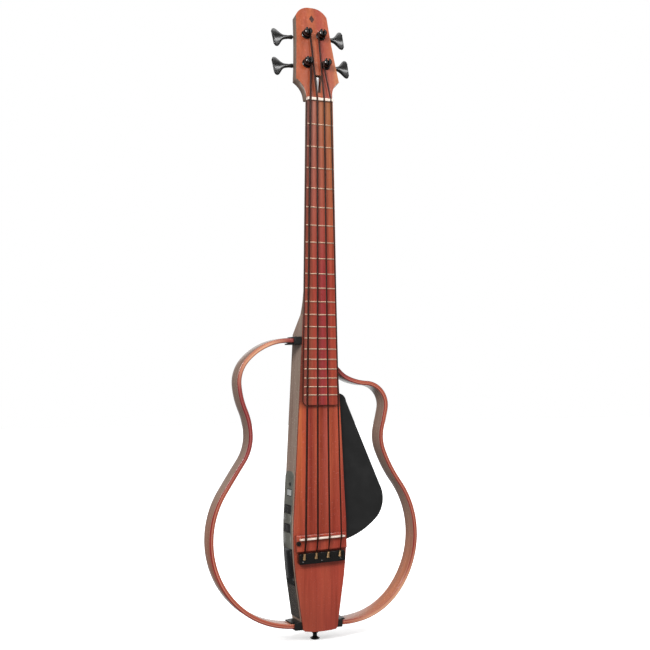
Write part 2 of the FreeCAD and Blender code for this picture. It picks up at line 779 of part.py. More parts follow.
def bow_sides(bow, half):
    """The two sides of a bow: a chain of tangent arcs offset both ways by half the strip."""
    position = Vector(bow["start"][0], 0, bow["start"][1])
    angle = math.radians(bow["heading"])
    heading = Vector(math.cos(angle), 0, math.sin(angle))
    sides = {1: [], -1: []}
    for x, z in bow["points"]:
        goal = Vector(x, 0, z)
        span = goal - position
        normal = Vector(-heading.z, 0, heading.x)
        radius = span.dot(span) / (2 * span.dot(normal))
        centre = position + normal * radius
        chord = Vector(span).normalize()
        new_heading = chord * (2 * heading.dot(chord)) - heading
        middle = centre + ((position - centre) + (goal - centre)).normalize() * abs(radius)
        for side in sides:
            share = (abs(radius) + side * half * (-1 if radius > 0 else 1)) / abs(radius)
            ends = [centre + (p - centre) * share for p in (position, middle, goal)]
            sides[side].append(edge(*ends))
        position, heading = goal, new_heading
    return sides


def bow_strip(bow, thickness):
    sides = bow_sides(bow, thickness / 2)
    ends = []
    for at in (0, -1):
        pick = 0 if at == 0 else 1
        arcs = [sides[s][at] for s in (1, -1)]
        corners = [arc.valueAt((arc.FirstParameter, arc.LastParameter)[pick]) for arc in arcs]
        ends.append(edge(*corners))
    face = plane_face(sides[1] + sides[-1] + ends)
    face.translate(Vector(0, size("frame_front"), 0))
    return face.extrude(Vector(0, size("frame_width"), 0))


def tenon(x_low, x_high, z):
    half = size("tenon_thickness") / 2
    front = size("frame_front") + 2
    return slab((x_low, front, z - half), (x_high, front + size("frame_width") - 4, z + half))


def make_bows():
    left = bow_strip(LEFT_BOW, size("frame_strip"))
    left = left.fuse([tenon(-48, -37, LOW_SOCKET_Z), tenon(-48, -37, HIGH_SOCKET_Z)])
    shape_node("left_frame", left.removeSplitter())
    right = bow_strip(RIGHT_BOW, size("frame_strip"))
    wall = wall_x(RIGHT_TENON_Z - 12) + 0.4
    right = right.cut(slab((0, -60, 440), (wall, 60, 500)))
    right = right.fuse([tenon(37, 48, LOW_SOCKET_Z), tenon(22, 37, RIGHT_TENON_Z)])
    shape_node("right_frame", right.removeSplitter())


def socket(side, z, tongue_up, reach, screw_x):
    """Black block on the side wall with a pocket for a tenon and a tongue along the bow."""
    half = size("socket_height") / 2
    front = size("socket_front")
    back = front + size("socket_width")
    block = slab((24, front, z - half), (reach, back, z + half))
    block = softened(block, 1.5, lambda e: e.BoundBox.XLength > 15 or e.BoundBox.XMin > reach - 0.1)
    tongue_z = z + half - 2.2 if tongue_up else z - half
    tongue = slab((reach - 4, front + 5, tongue_z), (reach + 6, back - 5, tongue_z + 2.2))
    grow = 0.3
    pocket = slab((36.5, size("frame_front") + 2 - grow, z - size("tenon_thickness") / 2 - grow),
                  (reach + 1, size("frame_front") + size("frame_width") - 2 + grow,
                   z + size("tenon_thickness") / 2 + grow))
    body = block.fuse(tongue).cut([pocket, rod((screw_x, 5, z), (0, 1, 0), 2.08, 20)])
    if side < 0:
        body = body.mirror(Vector(), Vector(1, 0, 0))
    return body.cut(outline_prism(FRONT - 5, BACK + 5))


def thumb_screw(length):
    """Knurled head with a shank that points down -Z from its seat."""
    head = Part.makeCylinder(5.0, 6.0, Vector(0, 0, 0.4))
    for index in range(16):
        angle = 2 * math.pi * index / 16
        groove = Vector(5.2 * math.cos(angle), 5.2 * math.sin(angle), 0)
        head = head.cut(Part.makeCylinder(0.6, 8, groove))
    return head.fuse(rod((0, 0, -length), (0, 0, 1), 2.0, length + 1)).removeSplitter()


def make_sockets():
    back = size("socket_front") + size("socket_width")
    tenon_back = size("frame_front") + size("frame_width") - 2
    wide, narrow = size("socket_reach"), size("socket_reach_lower_right")
    spots = {"lower_left": (-1, LOW_SOCKET_Z, True, wide, 41.0),
             "lower_right": (1, LOW_SOCKET_Z, True, narrow, 39.6),
             "upper_left": (-1, HIGH_SOCKET_Z, False, wide, 41.0)}
    for name, (side, z, up, reach, screw_x) in spots.items():
        shape_node("socket_" + name, socket(side, z, up, reach, screw_x))
        screw = aim(thumb_screw(back - tenon_back - 0.5), (side * screw_x, back, z), (0, 1, 0))
        shape_node("clamp_screw_" + name, screw)
    sleeve = slab((SLEEVE_X, -22, 454), (60, 13, 468))
    grow = 0.3
    half = size("tenon_thickness") / 2 + grow
    pocket = slab((21.5, size("frame_front") + 2 - grow, RIGHT_TENON_Z - half),
                  (61, tenon_back + grow, RIGHT_TENON_Z + half))
    sleeve = sleeve.cut([pocket, rod((28, 5, RIGHT_TENON_Z), (0, 1, 0), 2.08, 20)])
    shape_node("socket_upper_right", sleeve.common(outline_prism(FRONT, BACK)))
    screw = aim(thumb_screw(BACK - tenon_back - 0.5), (28, BACK, RIGHT_TENON_Z), (0, 1, 0))
    shape_node("clamp_screw_upper_right", screw)


# ---------------------------------------------------------------- left side wall

def wall_skin(y_range, z_range, round_top=0.0):
    """A cover that follows the left side wall, proud of it by the panel skin."""
    block = slab((-60, y_range[0], z_range[0]), (-20, y_range[1], z_range[1]))
    if round_top:
        block = softened(block, round_top, lambda e: e.BoundBox.XLength > 30
                         and e.CenterOfMass.z > z_range[1] - 0.1)
    grown = outline_prism(FRONT, BACK, size("panel_skin"))
    return block.common(grown).cut(outline_prism(FRONT - 1, BACK + 1))


PANEL_Y = (-17.0, 23.0)


def make_left_side():
    panel = wall_skin(PANEL_Y, (143.4, 277.0), 12.0)
    bezels = []
    for z in WHEELS.values():
        span_y = (WHEEL_Y - BEZEL_HALF[0], WHEEL_Y + BEZEL_HALF[0])
        span_z = (z - BEZEL_HALF[1], z + BEZEL_HALF[1])
        panel = panel.cut(slab((-70, span_y[0], span_z[0]), (-30, span_y[1], span_z[1])))
        slot = slab((-70, WHEEL_Y - 12.4, z - WHEEL_HALF - 0.5),
                    (-20, WHEEL_Y + 12.4, z + WHEEL_HALF + 0.5))
        bezels.append(wall_skin(span_y, span_z).cut(slot))
    shape_node("wheel_bezels", Part.makeCompound(bezels))
    y, z = BUTTON_AT
    panel = panel.cut(rod((-70, y, z), (1, 0, 0), 3.1, 50))
    window = slab((-60, -13, 233.5), (-20, 11, 246.5))
    panel = panel.cut(window)
    shape_node("control_panel", panel)
    window_body = wall_skin((-13, 11), (233.5, 246.5))
    shape_node("display_window", window_body)
    make_wheels()
    cap_x = wall_x(z) + size("panel_skin") + 1.2
    cap = Part.makeCylinder(2.8, 7.0, Vector(-cap_x, y, z), Vector(1, 0, 0))
    cap = softened(cap, 0.5, lambda e: e.BoundBox.XMax < -cap_x + 0.1)
    shape_node("power_button", cap)
    door = wall_skin(PANEL_Y, (79.6, 143.0))
    shape_node("battery_door", door)
    cover = wall_skin(PANEL_Y, (23.0, 79.2))
    shape_node("lower_side_cover", cover)


def make_wheels():
    """Knurled thumbwheels on spindles along Z."""
    for name, z in WHEELS.items():
        centre_x = -(wall_x(z) + size("panel_skin") + WHEEL_PROUD - WHEEL_RADIUS)
        wheel = Part.makeCylinder(WHEEL_RADIUS, 2 * WHEEL_HALF, Vector(0, 0, -WHEEL_HALF))
        wheel = softened(wheel, 0.8)
        for index in range(36):
            angle = 2 * math.pi * index / 36
            reach = WHEEL_RADIUS + 0.2
            spot = Vector(reach * math.cos(angle), reach * math.sin(angle), -9)
            wheel = wheel.cut(Part.makeCylinder(0.6, 18, spot))
        spindle = Part.makeCylinder(2.0, 2 * WHEEL_HALF + 4, Vector(0, 0, -WHEEL_HALF - 2))
        wheel = wheel.fuse(spindle).removeSplitter()
        wheel.translate(Vector(centre_x, WHEEL_Y, z))
        shape_node(name, wheel)


# ---------------------------------------------------------------- electronics

def make_electronics():
    board = box("circuit_board", (-14.6, -12, 150), Length=1.6, Width=30, Height=112)
    keep(board, "circuit_board")
    battery = box("battery", (-41.0, -10.5, 88), Length=17.5, Width=26.5, Height=48.5)
    keep(battery, "battery")
    bore = size("jack_bore")
    seat_to_top = JACK_TOP - JACK_SEAT_Z
    barrel = turned([(0, -seat_to_top), (5.6, -seat_to_top), (5.6, 0), (7.5, 0), (7.5, 2.2), (6.2, 3.4),
                     (bore, 3.4), (bore, -20), (0, -20)])
    shape_node("output_jack", aim(barrel, (*JACK_AT, JACK_SEAT_Z), (0, 0, -1)))
    route = [Vector(*JACK_AT, JACK_TOP), Vector(*JACK_AT, 45), Vector(13, 12, 66), Vector(5, 11, 85),
             Vector(-7, 10, 98), Vector(-13.8, 9, 122), Vector(-13.8, 9, 150)]
    edges, here = rounded_route(route, [60.0, 22.0, 22.0, 20.0, 30.0])
    edges.append(edge(here, route[-1]))
    shape_node("wiring", tube(edges, 1.0))


# ---------------------------------------------------------------- side plate and buttons

def make_side_plate():
    """Matt black teardrop plate beside the right wall, on two brackets."""
    outline = [
        Part.Arc(flat(38.6, 413.5), flat(45, 411.5), flat(52.6, 399.7)),
        Part.LineSegment(flat(52.6, 399.7), flat(117.6, 250)),
        Part.Arc(flat(117.6, 250), flat(123.6, 219), flat(113.5, 194)),
        Part.Arc(flat(113.5, 194), flat(84, 170), flat(51.2, 155.8)),
        Part.LineSegment(flat(51.2, 155.8), flat(38.6, 413.5)),
    ]
    body = pad_body("side_plate", outline, "-1 * " + cell("plate_front"), cell("plate_thickness"))
    keep(body, "side_plate")
    top = size("plate_front") + size("plate_thickness")
    brackets, screws = [], []
    for z in BRACKET_Z:
        x = wall_x(z - 10) + 0.2
        leg = slab((x, top, z - 10), (x + 2, 8, z + 10))
        arm = slab((x, top, z - 10), (x + 22, top + 2, z + 10))
        bracket = leg.fuse(arm).removeSplitter()
        bracket = bracket.cut([rod((x - 5, 0, z), (1, 0, 0), 1.6, 15),
                               rod((x + 14, top - 5, z), (0, 1, 0), 1.6, 15)])
        brackets.append(bracket)
        wall_screw = rod((x - 8, 0, z), (1, 0, 0), 1.5, 10.2)
        wall_screw = wall_screw.fuse(rod((x + 2, 0, z), (1, 0, 0), 3, 1.8))
        plate_screw = rod((x + 14, top, z), (0, 1, 0), 1.5, 2.2)
        plate_screw = plate_screw.fuse(rod((x + 14, top + 2, z), (0, 1, 0), 3, 1.8))
        screws += [wall_screw.removeSplitter(), plate_screw.removeSplitter()]
    shape_node("side_plate_brackets", Part.makeCompound(brackets))
    shape_node("side_plate_screws", Part.makeCompound(screws))


def strap_button():
    """Flange, waist and mushroom head along +Z, with its screw into the wood."""
    tip = 1 - END_SCREW[1]
    return turned([(0, tip), (2.6, tip), (2.6, 0), (11.5, 0), (11.5, 2.4), (6.0, 6.4), (3.8, 8.4),
                   (3.8, 12.6), (5.6, 14.4), (8.4, 15.2), (8.4, 16.8), (6.6, 18.2), (0, 18.2)])


def make_buttons():
    shape_node("end_button", aim(strap_button(), (0, 0, 0), (0, 0, -1)))
    middle = Vector(0, (BACK + HEEL_BACK) / 2, size("heel_height") - (BACK - HEEL_BACK) / 2)
    small = turned([(0, -14), (1.8, -14), (1.8, 0), (7.5, 0), (7.5, 1.8), (4.2, 4.5), (4.2, 8.5),
                    (6.8, 10.5), (6.8, 12), (5.4, 13), (0, 13)])
    shape_node("heel_button", aim(small, middle, (0, 1, 1)))


# ---------------------------------------------------------------- build, check, write

make_front_board()
make_body_core()
make_neck()
make_fretboard()
make_frets()
make_truss_rod()
make_nut()
make_bridge()
make_tailpiece()
make_strings()
make_tuners()
shape_node("headstock_inlay", inlay_shape(0.05))
make_bows()
make_sockets()
make_left_side()
make_electronics()
make_side_plate()
make_buttons()
doc.recompute()

os.makedirs("parts", exist_ok=True)
for item in doc.Objects:
    if "Invalid" in item.State or "Error" in item.State:
        raise RuntimeError("%s failed: %s" % (item.Label, item.State))
for node in NODES:
    if node.Shape.isNull() or not node.Shape.isValid():
        raise RuntimeError("%s has no valid shape" % node.Label)
for node in NODES:
    node.Shape.exportStep("parts/%s.step" % node.Label)
print("%d nodes written" % len(NODES))
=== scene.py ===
import json
import math

import bmesh
import bpy
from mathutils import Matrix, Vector


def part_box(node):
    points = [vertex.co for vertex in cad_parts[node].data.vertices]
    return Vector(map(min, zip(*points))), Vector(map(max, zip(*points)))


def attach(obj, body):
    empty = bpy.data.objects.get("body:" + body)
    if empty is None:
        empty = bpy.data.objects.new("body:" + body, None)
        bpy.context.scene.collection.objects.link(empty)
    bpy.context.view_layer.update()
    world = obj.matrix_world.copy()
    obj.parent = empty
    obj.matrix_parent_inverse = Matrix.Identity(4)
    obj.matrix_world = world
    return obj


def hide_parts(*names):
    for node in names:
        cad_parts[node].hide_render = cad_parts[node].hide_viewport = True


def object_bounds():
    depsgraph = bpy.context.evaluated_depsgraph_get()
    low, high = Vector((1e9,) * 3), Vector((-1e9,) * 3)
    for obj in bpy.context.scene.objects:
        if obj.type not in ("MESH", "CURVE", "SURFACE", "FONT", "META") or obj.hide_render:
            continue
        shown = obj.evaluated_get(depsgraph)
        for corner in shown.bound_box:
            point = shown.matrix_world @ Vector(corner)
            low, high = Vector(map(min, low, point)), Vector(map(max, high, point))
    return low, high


# A silent bass guitar: lacquered laminated wood, black hardware, wound strings.
# Objects are in metres, in the CAD frame: +Z up the neck, the strings face -Y. The bows',
# strings' and keys' plain numbers are millimetres that meet MM where they are used; the
# floor's and the lamps' are metres, and a texture's scale counts per metre.

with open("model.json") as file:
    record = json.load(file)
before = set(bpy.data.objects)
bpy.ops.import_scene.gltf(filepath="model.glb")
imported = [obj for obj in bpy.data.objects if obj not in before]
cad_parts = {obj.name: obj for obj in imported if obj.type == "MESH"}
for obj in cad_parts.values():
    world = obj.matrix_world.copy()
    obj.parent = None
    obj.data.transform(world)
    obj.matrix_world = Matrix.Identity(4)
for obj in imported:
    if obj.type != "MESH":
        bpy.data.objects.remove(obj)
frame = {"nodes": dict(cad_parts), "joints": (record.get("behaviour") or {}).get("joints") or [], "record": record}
CAD_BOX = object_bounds()
NODES = frame["nodes"]
JOINTS = {joint["name"]: joint for joint in frame["joints"]}
MM = 0.001

CAMERA_AT = Vector((-718.7, -1828.06, 435.3)) * MM
CAMERA_TURN_DEG = (92.9175, 0.2026, -22.0262)
CAMERA_LENS = 60.92

BODY_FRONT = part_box("front_board")[0].y
FRET_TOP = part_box("frets")[0].y
NUT_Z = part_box("nut")[0].z
# Out of the headstock's tilted face, and up along it.
HEAD_OUT = Vector(JOINTS["post_turn_e"]["axis"]).normalized()
HEAD_UP = Vector((1, 0, 0)).cross(HEAD_OUT) * -1


# ---------------------------------------------------------------- material helpers

class Graph:
    """A material's node tree, with short calls for the nodes that these finishes use."""

    def __init__(self, name, metallic=0.0, coat=0.0, coat_roughness=0.1):
        self.material = bpy.data.materials.new(name)
        self.material.use_nodes = True
        self.tree = self.material.node_tree
        self.shader = self.tree.nodes["Principled BSDF"]
        self.shader.inputs["Metallic"].default_value = metallic
        self.shader.inputs["Coat Weight"].default_value = coat
        self.shader.inputs["Coat Roughness"].default_value = coat_roughness

    def feed(self, socket, value):
        if isinstance(value, bpy.types.NodeSocket):
            self.tree.links.new(value, socket)
        else:
            socket.default_value = value

    def add(self, kind, inputs=(), **settings):
        node = self.tree.nodes.new("ShaderNode" + kind)
        for name, value in settings.items():
            setattr(node, name, value)
        for name, value in dict(inputs).items():
            self.feed(node.inputs[name], value)
        return node

    def at(self, attribute=None):
        """Where a point is: in the object's own metres, or as a named attribute says."""
        if attribute:
            return self.add("Attribute", attribute_name=attribute).outputs["Vector"]
        return self.add("TexCoord").outputs["Object"]

    def stretch(self, vector, scale):
        return self.add("Mapping", {"Vector": vector, "Scale": scale}).outputs["Vector"]

    def noise(self, vector, scale, detail=4.0, roughness=0.55):
        values = {"Vector": vector, "Scale": scale, "Detail": detail, "Roughness": roughness}
        return self.add("TexNoise", values).outputs["Fac"]

    def ramp(self, factor, stops, interpolation="LINEAR"):
        """Stops are (position, colour or grey) pairs."""
        node = self.add("ValToRGB", {"Fac": factor})
        ramp = node.color_ramp
        ramp.interpolation = interpolation
        while len(ramp.elements) < len(stops):
            ramp.elements.new(1.0)
        for element, (position, shade) in zip(ramp.elements, stops):
            element.position = position
            rgb = tuple(shade) if hasattr(shade, "__len__") else (shade,) * 3
            element.color = rgb + (1.0,)
        return node.outputs["Color"]

    def mix(self, factor, first, second, blend="MIX"):
        """Blend two colours; the node's own sockets 0, 6, 7 and 2 are the ones for colours."""
        node = self.add("Mix", data_type="RGBA", blend_type=blend)
        for index, value in ((0, factor), (6, first), (7, second)):
            if isinstance(value, tuple) and len(value) == 3:
                value = value + (1.0,)
            self.feed(node.inputs[index], value)
        return node.outputs[2]

    def sums(self, operation, first, second):
        node = self.add("Math", operation=operation)
        for index, value in enumerate((first, second)):
            self.feed(node.inputs[index], value)
        return node.outputs["Value"]

    def span(self, value, low, high, to_low=0.0, to_high=1.0):
        values = {"Value": value, "From Min": low, "From Max": high, "To Min": to_low,
                  "To Max": to_high}
        return self.add("MapRange", values).outputs["Result"]

    def bump(self, height, strength, distance):
        values = {"Height": height, "Strength": strength, "Distance": distance}
        return self.add("Bump", values).outputs["Normal"]

    def done(self, colour, roughness, normal=None):
        """Feed the shader and hand over the finished material."""
        self.feed(self.shader.inputs["Base Color"], colour)
        self.feed(self.shader.inputs["Roughness"], roughness)
        if normal is not None:
            self.feed(self.shader.inputs["Normal"], normal)
        return self.material


def tone(red, green, blue):
    """A colour given as it looks on a screen, 0 to 255, made linear."""
    linear = []
    for value in (red / 255, green / 255, blue / 255):
        linear.append(value / 12.92 if value <= 0.04045 else ((value + 0.055) / 1.055) ** 2.4)
    return tuple(linear)


def spread(tones):
    """Ramp stops at even steps from 0 to 1."""
    return [(index / (len(tones) - 1), value) for index, value in enumerate(tones)]


# ---------------------------------------------------------------- finishes

def wood(name, bands, side, half_width, attribute=None, back=None, gloss=0.22, lamination=None,
         zones=()):
    """Lacquered wood with its grain along Z.

    bands are the tones of the glued strips from -X to +X of a face that looks to the front;
    side is the tone of the walls, a painted sheen and shade: greyer than the face on some woods,
    darker on others; back is that of the back. lamination is the pitch of veneers, and with it
    the lower walls get warm patches of painted highlight.
    attribute names the grain's own coordinates, on a mesh whose wood is bent.
    zones are (low Z, high Z, other bands): the bands turn to the others from the low to the high;
    two more numbers keep a zone to one side, from none of it at the first X to all at the second.
    """
    g = Graph(name, coat=0.3, coat_roughness=0.1)
    g.shader.inputs["Specular IOR Level"].default_value = 0.4
    here = g.at(attribute)
    split = g.add("SeparateXYZ", {"Vector": here}).outputs
    waver = g.noise(g.stretch(here, (30, 30, 3)), 1.0, 2)
    across = g.sums("ADD", split["X"], g.span(waver, 0.3, 0.7, -1.2 * MM, 1.2 * MM))
    place = g.span(across, -half_width, half_width)
    front = g.ramp(place, spread(bands), "EASE")
    spot = g.add("SeparateXYZ", {"Vector": g.at()}).outputs
    height = spot["Z"]
    for low, high, other_bands, *sideways in zones:
        share = g.span(height, low, high)
        if sideways:
            share = g.sums("MULTIPLY", share, g.span(spot["X"], *sideways))
        front = g.mix(share, front, g.ramp(place, spread(other_bands), "EASE"))
    fibre = g.noise(g.stretch(here, (1500, 1500, 28)), 1.0, 5, 0.6)
    figure = g.noise(g.stretch(here, (150, 150, 5)), 1.0, 5, 0.62)
    cloud = g.noise(g.stretch(here, (22, 22, 7)), 1.0, 3, 0.5)
    # Walls, by the way they face, take the side tone: a painted sheen and shade in place of the bands.
    facing = g.add("SeparateXYZ", {"Vector": g.add("TexCoord").outputs["Normal"]}).outputs["Y"]
    front_share = g.span(facing, -0.35, -0.8)
    colour = g.mix(front_share, side, front)
    if back is not None:
        colour = g.mix(g.span(facing, 0.4, 0.85), colour, back)
    if lamination:
        layer = g.sums("PINGPONG", g.sums("ADD", across, 0.1), lamination)
        line = g.span(layer, 0.0, 0.16 * MM, 0.62, 1.0)
        colour = g.mix(front_share, colour, g.mix(1.0, colour, line, "MULTIPLY"))
        # Painted highlight: warm patches on the walls, more of them lower down, where the bows' lower inner sides
        # catch the light from above.
        highlight_patches = g.span(g.noise(g.stretch(here, (60, 20, 4.5)), 1.0, 3, 0.5), 0.35, 0.65, 0.45, 1.0)
        side_highlight = g.sums("MULTIPLY", highlight_patches, g.span(height, 0.26, 0.10, 0.12, 1.0))
        colour = g.mix(g.sums("SUBTRACT", side_highlight, front_share), colour, tone(196, 122, 92))
    flame = g.ramp(figure, [(0.3, (0.78, 0.72, 0.68)), (0.5, 0.97), (0.72, (1.12, 1.12, 1.08))])
    colour = g.mix(1.0, colour, flame, "MULTIPLY")
    grain = g.ramp(fibre, [(0.32, (0.78, 0.72, 0.7)), (0.55, 1.0), (0.8, 1.08)])
    colour = g.mix(0.8, colour, grain, "MULTIPLY")
    drift = g.ramp(cloud, [(0.3, (0.88, 0.8, 0.78)), (0.5, 1.0), (0.7, (1.08, 1.12, 1.06))])
    colour = g.mix(0.75, colour, drift, "MULTIPLY")
    pores = g.span(g.noise(g.stretch(here, (2600, 2600, 90)), 1.0, 2), 0.66, 0.74)
    colour = g.mix(g.sums("MULTIPLY", pores, 0.35), colour, (0.10, 0.02, 0.012))
    wear = g.noise(here, 210.0, 3)
    rough = g.span(wear, 0.3, 0.7, gloss - 0.04, gloss + 0.07)
    return g.done(colour, rough, g.bump(fibre, 0.03, 0.05 * MM))


GRAIN_SCALE = 900.0
GLOSS_SPREAD = 0.06
LIGHTER = 1.25
DARKER = 0.78


def plain(name, base, roughness, metallic=0.0, depth=0.06, coat=0.0):
    """A moulded, cast or plated surface: fine grain, slight tone changes, uneven gloss."""
    g = Graph(name, metallic=metallic, coat=coat, coat_roughness=0.06)
    here = g.at()
    fine = g.noise(here, GRAIN_SCALE, 5, 0.6)
    broad = g.noise(here, 38.0, 3)
    light = tuple(min(1.0, channel * LIGHTER + 0.002) for channel in base)
    dark = tuple(channel * DARKER for channel in base)
    colour = g.ramp(broad, [(0.3, dark), (0.5, base), (0.72, light)])
    colour = g.mix(0.35, colour, g.ramp(fine, [(0.35, 0.7), (0.65, 1.25)]), "MULTIPLY")
    uneven = g.mix(0.5, fine, broad)
    rough = g.span(uneven, 0.3, 0.7, roughness - GLOSS_SPREAD, roughness + GLOSS_SPREAD)
    return g.done(colour, rough, g.bump(fine, depth * 2, 0.05 * MM))


def brushed(name, base, roughness, direction, metallic=1.0):
    """Metal with fine marks drawn out along one direction."""
    g = Graph(name, metallic=metallic)
    here = g.at()
    marks = g.noise(g.stretch(here, direction), 1.0, 4, 0.6)
    broad = g.noise(here, 60.0, 3)
    dark = tuple(channel * 0.8 for channel in base)
    colour = g.ramp(marks, [(0.3, dark), (0.6, base)])
    rough = g.span(g.mix(0.4, marks, broad), 0.3, 0.7, roughness - 0.07, roughness + 0.09)
    return g.done(colour, rough, g.bump(marks, 0.15, 0.04 * MM))


def bone(name):
    """Pale bone or its imitation, with faint streaks along X and fine pits."""
    g = Graph(name, coat=0.3, coat_roughness=0.12)
    here = g.at()
    streak = g.noise(g.stretch(here, (90, 700, 700)), 1.0, 4)
    colour = g.ramp(streak, [(0.3, tone(222, 202, 184)), (0.55, tone(238, 222, 208)),
                             (0.75, tone(246, 236, 226))])
    pits = g.noise(here, 2600.0, 2)
    return g.done(colour, g.span(pits, 0.3, 0.7, 0.24, 0.38), g.bump(pits, 0.12, 0.03 * MM))


WINDING_PITCH = 0.55 * MM


def wound_string(name, base):
    """Flat tape wound round a core, by length and angle stored on the mesh."""
    g = Graph(name)
    g.shader.inputs["Specular IOR Level"].default_value = 0.25
    split = g.add("SeparateXYZ", {"Vector": g.at("wound_at")}).outputs
    turn = g.sums("ADD", g.sums("DIVIDE", split["Z"], WINDING_PITCH), split["X"])
    ridge = g.sums("PINGPONG", turn, 0.5)
    groove = g.span(ridge, 0.0, 0.16, 0.0, 1.0)
    scuff = g.noise(g.stretch(g.at("wound_at"), (3, 3, 900)), 1.0, 4)
    worn = tuple(channel * 1.9 for channel in base)
    colour = g.ramp(scuff, [(0.35, base), (0.75, worn)])
    colour = g.mix(groove, tuple(channel * 0.3 for channel in base), colour)
    return g.done(colour, g.span(scuff, 0.3, 0.7, 0.30, 0.48), g.bump(groove, 0.6, 0.08 * MM))


def display(name):
    """A pale lit pane, with nothing written on it, inside a dark rim."""
    g = Graph(name, coat=1.0, coat_roughness=0.03)
    split = g.add("SeparateXYZ", {"Vector": g.at()}).outputs
    low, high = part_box("display_window")
    rim_y = g.sums("PINGPONG", g.sums("SUBTRACT", split["Y"], low.y), (high.y - low.y) / 2)
    rim_z = g.sums("PINGPONG", g.sums("SUBTRACT", split["Z"], low.z), (high.z - low.z) / 2)
    inside = g.sums("MULTIPLY", g.span(rim_y, 1.6 * MM, 2.0 * MM),
                    g.span(rim_z, 1.4 * MM, 1.8 * MM))
    mist = g.noise(g.at(), 160.0, 3)
    glow = g.ramp(mist, [(0.3, tone(180, 184, 182)), (0.7, tone(214, 216, 213))])
    colour = g.mix(inside, tone(62, 65, 64), glow)
    return g.done(colour, g.span(mist, 0.3, 0.7, 0.16, 0.26), g.bump(mist, 0.05, 0.02 * MM))


def board_finish(name):
    """Green solder mask with pale tracks."""
    g = Graph(name, coat=0.4)
    here = g.at()
    tracks = g.add("TexVoronoi", {"Vector": g.stretch(here, (1, 160, 160)), "Scale": 1.0},
                   feature="DISTANCE_TO_EDGE").outputs["Distance"]
    colour = g.mix(g.span(tracks, 0.03, 0.06), tone(120, 150, 90), tone(22, 74, 44))
    grain = g.noise(here, 1500.0, 2)
    return g.done(colour, g.span(grain, 0.3, 0.7, 0.3, 0.45), g.bump(tracks, 0.1, 0.05 * MM))


FOOT_LOW_BANDS = [tone(164, 78, 58), tone(156, 68, 50), tone(152, 62, 48), tone(152, 62, 48)]
FOOT_BANDS = [tone(176, 80, 58), tone(170, 72, 52), tone(172, 72, 54), tone(174, 76, 56),
              tone(168, 68, 52), tone(166, 66, 50)]
BODY_BANDS = [tone(190, 94, 70), tone(204, 108, 68), tone(186, 84, 56), tone(176, 72, 58),
              tone(188, 88, 64), tone(184, 80, 56), tone(178, 82, 68), tone(194, 90, 62),
              tone(180, 80, 58), tone(188, 90, 66), tone(168, 66, 58)]
# Painted shadow: the fretboard's shadow, drawn as dark bands on the body beside the board's end.
FRETBOARD_SHADOW_BANDS = [tone(150, 76, 60), tone(66, 30, 24), tone(120, 56, 46), tone(150, 74, 58)]
BOARD_BANDS = [tone(150, 78, 66), tone(172, 84, 62), tone(174, 76, 60), tone(172, 68, 62),
               tone(162, 60, 62), tone(172, 66, 54), tone(176, 74, 54), tone(160, 68, 54)]
# The first of the top bands is darker, along the board's left edge.
BOARD_TOP_BANDS = [tone(96, 66, 62), tone(138, 90, 80), tone(182, 114, 96), tone(174, 106, 76),
                   tone(170, 104, 70), tone(182, 118, 76), tone(170, 98, 72)]
HEAD_BANDS = [tone(168, 84, 48), tone(168, 84, 52), tone(166, 84, 60), tone(172, 92, 60),
              tone(162, 76, 60), tone(170, 86, 60), tone(190, 122, 78)]
BOW_BANDS = [tone(138, 46, 44), tone(146, 54, 50), tone(196, 128, 104), tone(158, 66, 54),
             tone(184, 104, 80), tone(136, 46, 44)]
BOW_HIGH_BANDS = [tone(122, 36, 42), tone(134, 48, 52), tone(176, 98, 92), tone(140, 54, 54),
                  tone(156, 74, 68), tone(118, 38, 42)]
# Painted highlight: pale, creamy tones where the bows catch the light, at the upper left and the lower right.
BOW_HIGHLIGHT_BANDS = [tone(168, 96, 78), tone(204, 140, 112), tone(222, 168, 136), tone(188, 120, 96)]
# Painted sheen: the body's lacquered walls drawn grey-brown, for the white room that the lacquer reflects at a
# slant.
WALL_SHEEN_TAUPE = tone(160, 139, 126)
